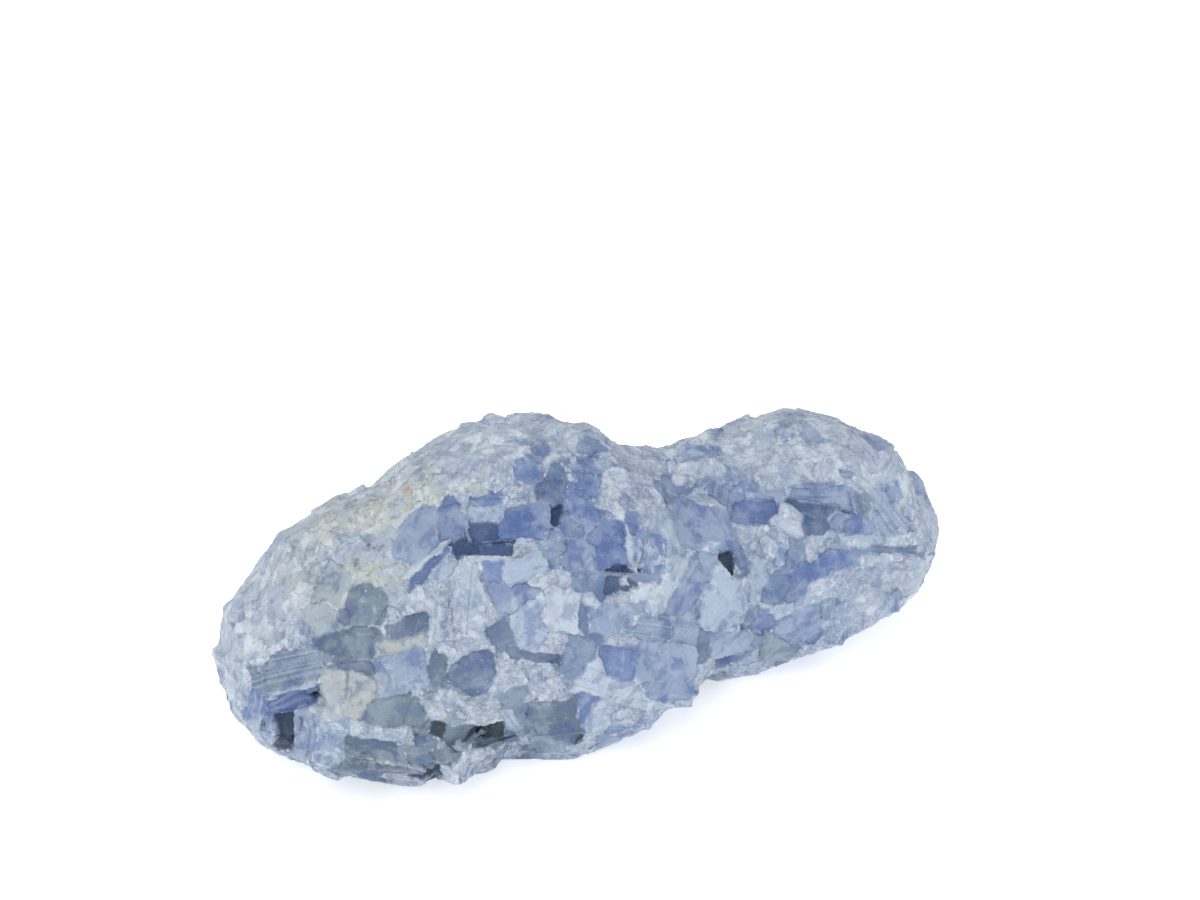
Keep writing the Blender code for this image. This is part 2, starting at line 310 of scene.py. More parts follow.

# The grains that stand out in the photograph, in mm and degrees: across, up, length and width as
# seen, the length's turn from the level, colour, how sugary they are, how far they stand proud,
# and whether they are striped.
# The notches and caves are drawn in near-black, navy and dark greenish colours: painted shade in
# those recesses, as are the recess's dark steps.
GRAINS_SEEN = [
    ("striped slab", -44.1, -10.6, 10.2, 5, 13, "slate green", 0.1, 0.3, 1),
    ("slab's light rim", -42.6, -13.4, 8.5, 0.7, 15, "pale", 0.1, 0.1, 0),
    ("step under the slab", -43, -15.3, 8.2, 2.1, 18, "deep blue", 0, -0.4, 1),
    ("gap under the step", -44.6, -20.2, 5.6, 2.7, 88, "notch shade ink", 0, -1.2, 0),
    ("blue facet left of it", -48.4, -16.1, 4.5, 2.6, 80, "deep blue", 0, -0.1, 1),
    ("lilac crumbs below it", -48, -19.8, 4.6, 3.6, 80, "light blue", 0.4, 0, 0),
    ("lilac column", -41.5, -19.8, 9, 2.9, 85, "lilac", 0.2, 0.1, 1),
    ("sage block, upper", -37, 2.2, 6.4, 4.6, 70, "sage", 0.05, 0.2, 0),
    ("sage block, lower", -38.4, -2.8, 5.4, 4.4, 20, "sage", 0.05, 0.1, 0),
    ("cream edge of the blocks", -35.2, 1.6, 5.4, 0.7, 75, "cream", 0.1, 0.3, 0),
    ("little dark triangle", -35.8, -2.6, 2.5, 1.8, 60, "slate", 0, -0.2, 0),
    ("slate grain", -31.7, -0.9, 5.8, 5.5, 0, "slate green", 0.1, -0.1, 0),
    ("grey face", -34.6, -7.2, 9, 4.4, 8, "shaded slate", 0, 0, 0),
    ("slate streak in it", -35.3, -10.1, 4.2, 1, 0, "slate", 0, -0.1, 0),
    ("pale bar", -27.2, -6.9, 7.8, 2, 15, "cream", 0, 0.3, 0),
    ("slate face above it", -26.2, -4.4, 5.4, 3, 8, "slate", 0, -0.2, 0),
    ("face below the bar", -26.7, -10.7, 7.5, 6, 15, "light blue", 0.1, 0.1, 0),
    ("white crumbs on it", -29, -11.9, 2.6, 2.6, 30, "white", 0.5, 0.1, 0),
    ("dark stroke", -21.2, -10.2, 4, 1.8, 80, "slate green", 0, -0.2, 0),
    ("cream glow", -33.4, -14.3, 5.4, 4.2, 70, "cream", 0, 0, 0),
    ("cream column", -37.4, -14.6, 7, 4, 85, "cream", 0.2, 0.2, 0),
    ("sparkling crumbs", -29.8, -20.2, 5, 1.8, -10, "white", 0.8, 0.2, 0),
    ("slate green foot", -29.6, -25.8, 11, 3, -8, "shaded slate", 0.1, 0, 0),
    ("slate face above the foot", -31, -22.9, 9.5, 2.8, -8, "shaded slate", 0, 0, 0),
    ("slate face beside it", -24.3, -24, 4, 3, 0, "slate green", 0, 0, 0),
    ("pale column", -37.4, -21, 6.5, 4, 85, "light blue", 0.3, 0.1, 0),
    ("greenish face", -27.9, -16.8, 7, 4.2, 10, "grey green", 0, -0.2, 0),
    ("cream spot", -21.5, -16.4, 2, 1.8, 0, "cream", 0.5, 0.2, 0),
    ("cave, left", -20.9, -20.1, 1.8, 1.4, -20, "cave shade green", 0, -0.8, 0),
    ("slate patch by it", -22.6, -21.8, 2.6, 1.2, 0, "slate", 0, -0.2, 0),
    ("greenish face between", -17.4, -20.4, 4, 3, 0, "slate green", 0.1, -0.2, 0),
    ("cave, right", -13.2, -20.3, 3, 2, 10, "cave shade green", 0, -0.9, 0),
    ("cave's foot", -13.8, -22.2, 4.2, 1.2, 0, "slate green", 0, -0.3, 0),
    ("notch at the foot", -21.8, -26.2, 1.8, 1.8, 0, "notch shade ink", 0, -1, 0),
    ("cream crumbs", -14.3, -16.5, 4.2, 3, 0, "cream", 0.6, 0.2, 0),
    ("smooth greenish face", -3.8, -18.5, 7.6, 7, 0, "shaded slate", 0, 0, 0),
    ("leaning streak", -9.4, -19.3, 7, 1.4, -55, "pale", 0.2, 0.3, 1),
    ("slate gap", -9.9, -21.6, 3, 1.8, 80, "slate", 0, -0.4, 0),
    ("recess, pale square", -13.8, 13.3, 5, 2.4, 0, "pale", 0.1, 0, 0),
    ("recess, slate square", -14.5, 11, 4.2, 2.8, 0, "slate blue", 0, -0.45, 0),
    ("recess, dark step", -12.1, 8.1, 4.4, 2.1, 0, "slate blue", 0, -0.7, 0),
    # Painted shade: the recess's dark steps in navy.
    ("dark step, left", -13.1, 8.6, 2.2, 1, 0, "navy", 0, -1, 0),
    ("dark step, right", -10.4, 8.3, 1.2, 1.8, 0, "navy", 0, -0.9, 0),
    ("recess, wide face", -7.8, 11.8, 7.6, 5, 0, "deep blue", 0, 0, 0),
    ("recess, block", -4.2, 16.1, 3, 3, 0, "slate blue", 0, 0, 0),
    ("recess, slot", -3.4, 13, 2, 1, 88, "navy", 0, -0.9, 0),
    ("recess, left face", -19.4, 12, 5.4, 4.4, 60, "lilac", 0, 0, 0),
    ("face left of the ridge", -24, 9.8, 8.2, 5.2, 60, "light blue", 0, -0.1, 0),
    ("shade under the ridge", -21.2, 6, 7, 0.7, 43, "depth", 0, -0.3, 0),
    ("pale triangle under it", -20, 5, 3.6, 2, 40, "pale", 0.1, 0.1, 0),
    ("deep blue quadrilateral", -17.3, 8, 3.9, 2.8, 20, "navy", 0, -0.5, 0),
    ("curved ridge", -21.8, 6.9, 7.4, 0.7, 43, "white", 0.1, 0.4, 0),
    # The pale flake's paleness is partly a painted glint.
    ("pale flake", -8.3, 4.6, 6.2, 3.2, 20, "pale", 0, 0.5, 1),
    ("white crumbs", -4.4, 3.2, 4, 1.7, 0, "white", 0.8, 0.3, 0),
    ("blue grain under the rind", -7.7, 19.4, 3.6, 3.4, 0, "blue", 0.1, -0.1, 0),
    ("blue grain by it", 2.1, 17.4, 3.2, 2.5, 70, "blue", 0, -0.1, 0),
    ("small slate grain", -3.2, 19.6, 1.4, 1.2, 0, "steel blue", 0, -0.1, 0),
    ("leaning blue face", 0.5, 12.9, 5, 2.4, -50, "blue", 0, 0, 0),
    ("clear quadrilateral", 0.6, 6.5, 4.5, 4, 80, "lilac", 0, 0, 0),
    ("grey block", 1.5, 2.6, 4.6, 2.8, -5, "steel blue", 0.1, 0, 0),
    ("small blue grain", -12.9, 4.6, 3.2, 2.5, 0, "blue", 0, -0.1, 0),
    ("deep blue facet", 4.7, 8.2, 6.5, 4.6, -80, "deep blue", 0, -0.1, 0),
    ("ridge beside it", 7.9, 7.3, 5.2, 0.9, -75, "white", 0.1, 0.4, 0),
    # The navy notch is painted shadow under its lip in navy, a painted reflection in its light
    # line across, and painted shade in its slate lower part and dark corner.
    ("navy notch, upper", 6.6, 4.6, 3.8, 1.1, -8, "navy", 0, -1, 0),
    ("navy notch, line across", 6.9, 3.8, 3.6, 0.5, -6, "light blue", 0, -0.5, 0),
    ("navy notch, lower", 6.7, 2.4, 3.6, 2.2, -4, "slate", 0, -0.8, 0),
    ("navy notch, dark corner", 7.6, 2.6, 1.4, 1.6, 20, "navy", 0, -1, 0),
    ("mottled blue facets", 10.6, 7.6, 5, 4.5, -20, "blue", 0.3, 0, 0),
    ("pale curved grain", 14.1, 10.3, 5.5, 2.6, -80, "pale", 0.2, 0.2, 0),
    ("lilac face", 18.8, 11.5, 9.8, 8.2, 0, "lilac", 0, 0.1, 0),
    ("lilac face, milky top", 19.2, 14.2, 6.6, 2.8, -10, "pale", 0.1, 0.1, 0),
    ("lilac face, foot", 20, 8.7, 7.4, 2.6, -6, "blue", 0, 0.1, 0),
    # The white flake's white is partly a painted glint.
    ("white flake", -2.4, -1.2, 6, 5, 80, "white", 0.2, 0.6, 0),
    ("vein right of it", 0.7, -1.5, 6.5, 1.5, -70, "steel blue", 0, -0.4, 0),
    ("little white square", 1.2, 0.6, 2, 1.4, 0, "white", 0.2, 0.2, 0),
    ("lilac wedge", 5.3, -2.7, 7.5, 3.2, 8, "light blue", 0.1, 0.1, 0),
    ("steel blue bar", 10.5, -3.8, 6.2, 2.7, -8, "steel blue", 0, 0.1, 1),
    ("wide smooth face", 13.5, -11, 8.6, 8.2, 0, "light blue", 0, 0.2, 0),
    ("strong blue face", 6.4, -10, 4.6, 4.4, 80, "blue", 0, -0.1, 0),
    ("blue upright", -0.3, -8.5, 5.5, 3.4, 75, "steel blue", 0, -0.1, 0),
    ("striped white slab", 5.9, -13.3, 11, 3.6, -20, "white", 0.1, 0.4, 1),
    ("block below it", 3.2, -17.3, 3.6, 3, 0, "pale", 0.3, 0.1, 0),
    ("block's blue side", 0.4, -16.2, 4, 2.5, 60, "blue", 0, 0, 0),
    ("round slate grain", -15.8, -11.1, 6.6, 5.4, 20, "slate", 0, -0.1, 0),
    ("light lilac face", -7.1, -4.1, 6.2, 6, 20, "pale", 0.1, 0, 0),
    ("white columns", -16.4, 0.8, 9.5, 4, 85, "pale", 0.4, 0.2, 1),
    ("ink blue grain", -11.4, -5.6, 3, 2.7, -60, "slate", 0, -0.3, 0),
    ("crack", -6.2, -8.5, 4.4, 0.5, -5, "slate", 0, -0.2, 0),
    ("slanted bar", 17.2, 2.8, 8.8, 3, 58, "lilac", 0, 0.1, 0),
    ("white edge of the bar", 14.6, 2.6, 7, 1.4, 55, "white", 0.3, 0.4, 0),
    ("waist notch", 23.3, 6, 4.8, 1.9, -60, "notch shade ink", 0, -1, 0),
    ("slate lip", 25, 4.1, 3.2, 1.4, -62, "slate", 0, -0.2, 0),
    ("pale slope", 22.5, 0, 9, 6, 70, "pale", 0.1, 0.1, 0),
    ("blue lens, left", 27.4, 13.8, 6.2, 3.6, -4, "deep blue", 0, -0.1, 0),
    ("blue lens, pale top", 27.6, 15.8, 6, 2, -4, "light blue", 0.1, 0, 0),
    ("lens, upper half", 37.4, 15.8, 8.8, 3.8, -4, "light blue", 0.1, 0, 0),
    ("lens, lower half", 36.4, 13.7, 8, 3, -8, "slate blue", 0, -0.2, 0),
    ("lens, lower tip", 35.7, 11.6, 4.8, 2.6, -38, "slate blue", 0, -0.2, 0),
    ("light side of the lens", 39.4, 12.4, 3, 2.4, -50, "light blue", 0, 0, 0),
    ("blue oval", 41.9, 11.4, 3.3, 3.1, 0, "deep blue", 0, -0.1, 0),
    ("slate grain by it", 43.9, 14.2, 2.4, 2.9, 0, "slate green", 0.05, 0, 0),
    ("slanting stripes", 46.8, 12.4, 7.4, 3.6, -52, "light blue", 0.2, 0, 1),
    ("small blue spot", 47.3, 15.8, 2, 1.6, -60, "blue", 0, 0, 0),
    ("dark spot in the rind", 41.1, 19.4, 1.9, 1.1, -15, "deep blue", 0.1, -0.1, 0),
    ("blue spot in the rind, left", 31.4, 24.6, 2.2, 1.6, 0, "light blue", 0.2, 0, 0),
    ("blue spot in the rind, right", 35.6, 24.7, 3.3, 2, 0, "light blue", 0.2, 0, 0),
    ("slate spot on the crest", 32.5, 27.3, 2.8, 2, 0, "steel blue", 0.2, 0, 0),
    ("bright rind", 38.8, 25.8, 3.6, 2, 0, "white", 0.6, 0.2, 0),
    ("pitted rind", 34, 20.2, 3.6, 1.5, 0, "slate", 0.7, -0.1, 0),
    ("mottled rind", 22.8, 24.7, 5, 2.2, 0, "steel blue", 0.5, 0, 0),
    ("blue streak", 18.2, 22, 5, 1.5, 5, "blue", 0.2, 0, 0),
    ("blue patch", 25.6, 17.1, 3, 2.8, 60, "blue", 0.2, 0, 0),
    ("white wedge", 32.3, 12.1, 4.6, 3.4, -30, "white", 0.4, 0.3, 0),
    ("grey column", 33.2, 7.3, 4.2, 2.6, 85, "steel blue", 0, 0, 0),
    ("blue under it", 35.4, 4.4, 4.4, 2, 8, "deep blue", 0, -0.1, 0),
    ("blue slab", 40.4, 5.9, 5.8, 2, 5, "blue", 0, 0, 0),
    ("ledge line", 45.7, 8, 5, 0.6, -4, "steel blue", 0, -0.2, 0),
    ("ledge line, right", 51.6, 6.9, 3.6, 0.4, -3, "steel blue", 0, -0.2, 0),
    ("pale ledge above", 46, 9.2, 8, 1.6, 2, "pale", 0.4, 0.1, 0),
    ("pale ledge below", 47, 5.9, 9, 1.8, 4, "pale", 0.4, 0.1, 0),
    ("pale face right of the notch", 27, 3.4, 5.4, 2.6, 75, "pale", 0.2, 0.1, 0),
    ("round blue grain", 29.7, 1.5, 4, 3, 85, "steel blue", 0, -0.1, 0),
    ("pale seam under it", 31, -1.4, 3.6, 1.8, 10, "pale", 0.3, 0.1, 0),
    ("pale seam, right", 36, 1, 4.2, 2, 25, "pale", 0.4, 0.1, 0),
    ("dark blue grain", 28.8, -3, 3.2, 2.6, -50, "deep blue", 0, -0.2, 0),
    ("slanted lilac grain", 33.7, 0.6, 3.2, 2.5, 50, "lilac", 0, 0, 0),
    ("faded lilac face", 33.8, -3.4, 6.8, 4.8, 40, "lilac", 0.1, 0, 0),
    ("its blue heart", 35.5, -5, 2.4, 2.2, 60, "blue", 0, 0, 0),
    ("grey green grain", 30.6, -7.9, 5, 4.2, -20, "grey green", 0, -0.1, 0),
    ("oval face", 22.9, -6.2, 6.6, 4, 12, "light blue", 0, 0.1, 0),
    ("grey sliver", 19.1, -7.7, 3.8, 1.4, 70, "slate", 0, -0.2, 0),
    ("grey green wedge", 19.6, -11.4, 5, 3, 45, "grey green", 0, 0, 0),
    ("upright stripes", 39.9, -3.3, 6.6, 6, 85, "lilac", 0.3, 0, 1),
    ("sparkling white", 43.4, 0, 3.8, 3.4, 60, "white", 0.7, 0.2, 0),
    ("blue smear", 48.1, 0.3, 2.4, 2, 50, "blue", 0.2, 0, 0),
    ("white flake by the notch", 10, 1.2, 3, 1.2, 20, "bright white", 0.2, 0.3, 0),
    ("bright sliver on the blue facet", 5.9, 13.6, 2.6, 0.8, -60, "bright white", 0.1, 0.2, 0),
    ("bright fleck on the lilac face", 18.5, 16.3, 1.6, 1, 10, "bright white", 0.2, 0.1, 0),
    ("recess, bright left edge", -16.6, 11, 5.4, 0.5, 100, "white", 0.1, 0.2, 0),
    ("bright border under the step", -14.2, 6.4, 8.6, 0.5, -4, "white", 0.1, 0.1, 0),
]

# The stains in the rind, each with its reach in mm and its strength.
STAINS = [
    (-26, 16.7, 1.1, 1),
    (-28, 17.6, 1.8, 0.36),
    (-35.4, 12.6, 1.4, 0.36),
    (-41.5, 2.6, 1, 0.5),
]

# Those of the seen grains that have rounded outlines.
ROUNDED = {
    "blue lens, left",
    "blue lens, pale top",
    "lens, upper half",
    "lens, lower half",
    "lens, lower tip",
    "blue oval",
    "lilac face",
    "lilac face, milky top",
    "lilac face, foot",
    "faded lilac face",
    "light lilac face",
    "slate grain",
    "round slate grain",
    "round blue grain",
    "dark blue grain",
    "dark spot in the rind",
    "oval face",
}

# The seen grains' cells. They reach this far into the stone, their borders are firmer than
# others', and those of notches hardly bend. A grain's colour takes a share of its region's.
SEEN_DEPTH = 6
SEEN_REACH = 4
SEEN_FROM = -0.25
SEEN_FIRMNESS = 3
SEEN_BEND = 0.5
NOTCH_BEND = 0.1
NOTCH_SHIFT = -0.4
ROUNDED_BEND = 0.5
SQUARENESS = 10
ROUNDED_SQUARENESS = 2.6
REGION_SHARE = 0.2
PLAIN_WEIGHT = 0.12

# The grains between them. Calcite's cleavage faces each look this far away from the crystal's
# axis. Clear grains come in patches, fewer on the rind, and the lump's low left part is greener.
FACE_LEAN = math.radians(44.6)
TRIES = 60000
GRAIN_SPACING = 3.6
GRAIN_SIZE = (0, 2.8)
GRAIN_STRETCH = (0.2, 1)
GRAIN_REACH = 9
SMALLEST_ROOM = 0.5
PATCH_SIZE = 9
PATCH_PLACE = Vector((3.7, 1.9, 8.3))
PATCH_SHARE = 0.9
CLEAR_SHARE = 0.42
WORN_CLEAR_SHARE = 0.08
WORN_ENOUGH = 0.3
LOW_LEFT = (2, -11)
CLEAR_HUES = ("blue", "deep blue", "steel blue")
LOW_LEFT_HUES = ("slate green", "slate", "grey green")
MILKY_HUES = ("pale", "pale", "light blue")
CLEAR_HUE_SHARE = 0.5
MILKY_HUE_SHARE = 0.4
LOW_LEFT_MILKY_SHARE = 0.15
CLEAR_SHADES = (0.8, 1.1)
MILKY_SUGAR = (0.2, 1)
STRIPED_SHARE = 0.12
USUAL_SHIFT = 0.1
FAR = 1000.0
WIDEST_BORDER = 5

# The broken faces: how far each leans, and how much of the old surface it takes away or fills.
# A neighbour's height, sugar and colour run in from a border by these widths.
MOST_LEAN = math.radians(12)
MOST_FLATTENING = 0.55
SUGARY_LOSS = 0.5
LEAST_UPRIGHT = 0.4
BORDER_BLEND = 0.35
SUGAR_BLEND = 0.3
COLOUR_BLEND = 0.15
TALL_STEP = 0.4
FACE_HEIGHTS = (-1.5, 0.7)
LOWEST_WORKED = 1.0
WORKED_FADE = 1.5
BEND_SIZE = 7
MOST_BEND = 1.2
# A grain sunk this far keeps its own tint most, which keeps the notches' painted shade dark.
DARKEST_SHIFT = 0.5
MILKY_REACH = 6

# Chips, of which each leans on its own. Sugary grains show them in full and clear ones in part.
CHIPS = 11000
CHIP_LEAN = math.radians(11)
CHIP_STEP = 0.05
CHIP_RISE = 0.25
CHIP_BEND = 0.5
CLEAR_CHIPS = 0.25
FINE_RELIEF = 0.06

# The rind. It covers what faces up, back and left, and the front's worn places in part. On it the
# faces and chips are worn down. It is warmest round one place on the left.
RIND_WAY = np.array((-0.50, 0.60, 0.62))
RIND_FROM = 0.45
RIND_CLOUD = 0.5
RIND_FADE = 0.2
WORN_FADE = 2.5
WORN_CLOUD = 0.6
WORN_RIND = 0.7
RIND_ON_SUGAR = 2
RIND_FACE_WEAR = 0.75
RIND_CHIP_WEAR = 0.6
RIND_RELIEF = 0.3
WARM_MIDDLE = (-30, 8)
WARM_REACH = 22
WARM_HEART = 1.2
LEAST_WARM = 0.15

# Two swells on the right hump: its end, from this far across and above this height, and the
# shoulder over it.
END_RISE = 1.3
END_FROM = 46
END_FADE = 8
END_ABOVE = 5
END_CLIMB = 10
SHOULDER = (46.5, 20.5)
SHOULDER_REACH = 5
SHOULDER_RISE = 2.1

# The points are worked on from one end of the lump to the other.
order = np.argsort(points[:, 0])
points = points[order]
normals = normals[order]
ridge = ridge[order]
crevice = crevice[order]
draws = np.random.default_rng(SEED)
chip_middles = points[draws.choice(count, CHIPS, replace=False)]
chip_tree = KDTree(CHIPS)
for index, middle in enumerate(chip_middles):
    chip_tree.insert(middle, index)
chip_tree.balance()
chip_of = np.array([chip_tree.find(place)[1] for place in points])
bends = MOST_BEND * np.stack([noise_at(points, BEND_SIZE, seed) for seed in (1, 2, 3)], axis=1)
bends += (chip_middles[chip_of] - points) * CHIP_BEND


class Grain:
    """One grain, with the cell that it takes of the surface and how it looks."""

    def __init__(
        self, middle, ways, halves, colour, sugar, shift, stripes, bend=1, squareness=SQUARENESS
    ):
        self.middle = np.array(middle)
        self.ways = np.array(ways)
        self.halves = np.array(halves)
        self.colour = colour
        self.sugar = sugar
        self.shift = shift
        self.stripes = stripes
        self.bend = bend
        self.squareness = squareness

    def outside(self, places):
        """How far places are outside the grain's own rhomb, in mm, and negative inside it."""
        steps = np.abs((places - self.middle) @ self.ways.T) / self.halves
        size = (steps**self.squareness).sum(axis=1) ** (1 / self.squareness)
        return (size - 1) * self.halves.min()


def colour_near(place):
    """The colour of the region that a place is in, mixed with its neighbours'."""
    total = COLOURS["light blue"] * PLAIN_WEIGHT
    weights = PLAIN_WEIGHT
    for middle, reach, colour in regions:
        weight = math.exp(-((Vector(place) - middle).length / reach) ** 2)
        total = total + COLOURS[colour] * weight
        weights += weight
    return total / weights


def worn_at(places):
    """How worn places are as parts of the worn places on the front, 0 to 1."""
    worn = np.zeros(len(places))
    for middle, reach in worn_spots:
        away = np.linalg.norm(places - middle, axis=1)
        worn = np.maximum(worn, np.clip((reach - away) / WORN_FADE, 0, 1))
    return worn


def any_ways():
    """The three ways across a calcite rhomb's faces, turned at random."""
    axis = Vector([chance.gauss(0, 1) for _ in range(3)]).normalized()
    aside = axis.orthogonal().normalized()
    other = axis.cross(aside)
    ways = []
    for turn in (0, math.tau / 3, 2 * math.tau / 3):
        outward = aside * math.cos(turn) + other * math.sin(turn)
        ways.append(axis * math.cos(FACE_LEAN) + outward * math.sin(FACE_LEAN))
    return ways


regions = [(seen_at(across, up), reach, colour) for across, up, reach, colour in REGIONS]
worn_spots = [(np.array(seen_at(across, up)), reach) for across, up, reach in WORN_PLACES]
grains = []
for name, across, up, length, width, turn, colour, sugar, shift, stripes in GRAINS_SEEN:
    middle = seen_at(across, up)
    away = (middle - EYE).normalized()
    nearer = (middle - EYE).length / (LUMP_MIDDLE - EYE).length
    turn = math.radians(turn)
    along = TO_RIGHT * math.cos(turn) + TO_TOP * math.sin(turn)
    aside = away.cross(along).normalized()
    ways = (along, aside, away)
    halves = (length / 2 * nearer, width / 2 * nearer, SEEN_DEPTH)
    in_notch = shift <= NOTCH_SHIFT
    # A notch keeps its dark colour whole, as painted shade in the recess.
    share = 0 if in_notch else REGION_SHARE
    colour = COLOURS[colour] * (1 - share) + colour_near(middle) * share
    bend = NOTCH_BEND if in_notch else SEEN_BEND
    squareness = SQUARENESS
    if name in ROUNDED:
        bend = ROUNDED_BEND
        squareness = ROUNDED_SQUARENESS
    grains.append(Grain(middle, ways, halves, colour, sugar, shift, stripes, bend, squareness))
seen_count = len(grains)

taken = {}
for index in draws.choice(count, TRIES):
    place = points[index]
    home = tuple(int(step // GRAIN_SPACING) for step in place)
    near = [
        other
        for i in (-1, 0, 1)
        for j in (-1, 0, 1)
        for k in (-1, 0, 1)
        for other in taken.get((home[0] + i, home[1] + j, home[2] + k), ())
    ]
    if any(np.linalg.norm(place - other) < GRAIN_SPACING for other in near):
        continue
    taken.setdefault(home, []).append(place)
    room = min(grain.outside(place[None])[0] for grain in grains[:seen_count])
    if room < SMALLEST_ROOM:
        continue
    size = min(chance.uniform(*GRAIN_SIZE), room - SMALLEST_ROOM)
    patch = noise.noise(Vector(place) / PATCH_SIZE + PATCH_PLACE)
    worn = normals[index] @ RIND_WAY > RIND_FROM or worn_at(place[None])[0] > WORN_ENOUGH
    clear = chance.random() < (WORN_CLEAR_SHARE if worn else CLEAR_SHARE + patch * PATCH_SHARE)
    colour = colour_near(place)
    off = Vector(place) - LUMP_MIDDLE
    low_left = off.dot(TO_RIGHT) < LOW_LEFT[0] and off.dot(TO_TOP) < LOW_LEFT[1]
    if clear:
        hue = chance.choice(LOW_LEFT_HUES if low_left else CLEAR_HUES)
        colour = colour * (1 - CLEAR_HUE_SHARE) + COLOURS[hue] * CLEAR_HUE_SHARE
        colour = colour * chance.uniform(*CLEAR_SHADES)
    else:
        share = LOW_LEFT_MILKY_SHARE if low_left else MILKY_HUE_SHARE
        colour = colour * (1 - share) + COLOURS[chance.choice(MILKY_HUES)] * share
    halves = [size + chance.uniform(*GRAIN_STRETCH) for _ in range(3)]
    sugar = 0 if clear else chance.uniform(*MILKY_SUGAR)
    shift = chance.gauss(0, USUAL_SHIFT)
    ways = any_ways()
    stripes = chance.random() < STRIPED_SHARE
    grains.append(Grain(place, ways, halves, colour, sugar, shift, stripes))

# Each point belongs to the grain whose rhomb it is least outside of.
nearest = np.full(count, FAR)
second = np.full(count, FAR)
owner = np.zeros(count, int)
runner_up = np.zeros(count, int)
for number, grain in enumerate(grains):
    seen = number < seen_count
    reach = grain.halves[0] + SEEN_REACH if seen else GRAIN_REACH
    low, high = np.searchsorted(points[:, 0], (grain.middle[0] - reach, grain.middle[0] + reach))
    part = np.arange(low, high)
    part = part[np.abs(points[part] - grain.middle).max(axis=1) < reach]
    if seen:
        part = part[normals[part] @ to_viewer > SEEN_FROM]
    away = grain.outside(points[part] + bends[part] * grain.bend)
    if seen:
        away = np.where(away > 0, away * SEEN_FIRMNESS, away)
    first = away < nearest[part]
    next_best = ~first & (away < second[part])
    runner_up[part] = np.where(first, owner[part], np.where(next_best, number, runner_up[part]))
    second[part] = np.where(first, nearest[part], np.where(next_best, away, second[part]))
    owner[part] = np.where(first, number, owner[part])
    nearest[part] = np.where(first, away, nearest[part])
border = np.clip((second - nearest) / 2, 0, WIDEST_BORDER)


def grain_means(values):
    """The mean over each grain's points, for each column."""
    sizes = np.maximum(np.bincount(owner, minlength=len(grains)), 1)
    totals = [np.bincount(owner, column, len(grains)) for column in values.T]
    return np.stack(totals, axis=1) / sizes[:, None]


middles = grain_means(points)
facings = grain_means(normals)
facings /= np.maximum(np.linalg.norm(facings, axis=1), TINY)[:, None]
leans = draws.normal(size=facings.shape)
leans -= facings * (leans * facings).sum(axis=1)[:, None]
leans *= np.tan(draws.uniform(0, MOST_LEAN, len(grains)) / np.linalg.norm(leans, axis=1))[:, None]
facings = facings + leans
facings /= np.linalg.norm(facings, axis=1)[:, None]
sugars = np.array([grain.sugar for grain in grains])
shifts = np.array([grain.shift for grain in grains])


def height_in(numbers):
    """How far each point moves out to lie on the broken face of the grain it is numbered to."""
    facing = facings[numbers]
    upright = np.maximum((normals * facing).sum(axis=1), LEAST_UPRIGHT)
    flatten = ((middles[numbers] - points) * facing).sum(axis=1) / upright
    flatten = MOST_FLATTENING * np.tanh(flatten / MOST_FLATTENING)
    return flatten * (1 - SUGARY_LOSS * sugars[numbers]) + shifts[numbers]


def with_neighbour(own, next_one, width):
    """A value of each point's own grain, run into the neighbour's this near to the border."""
    share = 0.5 * np.clip(1 - border / width, 0, 1)
    share = share if own.ndim == 1 else share[:, None]
    return own * (1 - share) + next_one * share


rind = normals @ RIND_WAY - RIND_FROM + noise_at(points, size=5, seed=4, layers=3) * RIND_CLOUD
rind = np.clip(rind / RIND_FADE, 0, 1)
worn_share = worn_at(points) + noise_at(points, size=3, seed=8, layers=3) * WORN_CLOUD
rind = np.maximum(rind, WORN_RIND * np.clip(worn_share, 0, 1))
rind *= np.where(owner < seen_count, np.clip(sugars[owner] * RIND_ON_SUGAR, 0, 1), 1)
sugar = np.maximum(with_neighbour(sugars[owner], sugars[runner_up], SUGAR_BLEND), rind)
own_height = height_in(owner)
next_height = height_in(runner_up)
height = with_neighbour(own_height, next_height, BORDER_BLEND) * (1 - RIND_FACE_WEAR * rind)
# How much higher the neighbour stands at a border, which places painted highlight and painted
# shadow there.
step = np.clip((next_height - own_height) / TALL_STEP, -1, 1) * (1 - rind)

chip_leans = draws.normal(size=(CHIPS, 3)) * math.tan(CHIP_LEAN)
chip_height = ((points - chip_middles[chip_of]) * chip_leans[chip_of]).sum(axis=1)
chip_height += draws.normal(size=CHIPS)[chip_of] * CHIP_STEP
chip_share = CLEAR_CHIPS + (1 - CLEAR_CHIPS) * sugar
height += np.clip(chip_height, -CHIP_RISE, CHIP_RISE) * chip_share * (1 - RIND_CHIP_WEAR * rind)
chip_shade = draws.random(CHIPS)[chip_of]
height += rind * RIND_RELIEF * noise_at(points, size=3.2, seed=7, layers=2)
height += FINE_RELIEF * noise_at(points, size=0.7, seed=6, layers=2)
height = np.clip(height, *FACE_HEIGHTS)
height *= np.clip((points[:, 2] - LOWEST_WORKED) / WORKED_FADE, 0, 1)

seen_across = (points - np.array(LUMP_MIDDLE)) @ np.array(TO_RIGHT)
at_end = np.clip((seen_across - END_FROM) / END_FADE, 0, 1)
height += END_RISE * at_end * np.clip((points[:, 2] - END_ABOVE) / END_CLIMB, 0, 1)
to_shoulder = np.linalg.norm(points - np.array(seen_at(*SHOULDER)), axis=1)
height += SHOULDER_RISE * np.exp(-((to_shoulder / SHOULDER_REACH) ** 2))
moved = points + normals * height[:, None]
moved[:, 2] = np.maximum(moved[:, 2], 0)
back = np.argsort(order)
lump.data.vertices.foreach_set("co", (moved[back] * MM).astype(np.float32).ravel())
lump.data.update()

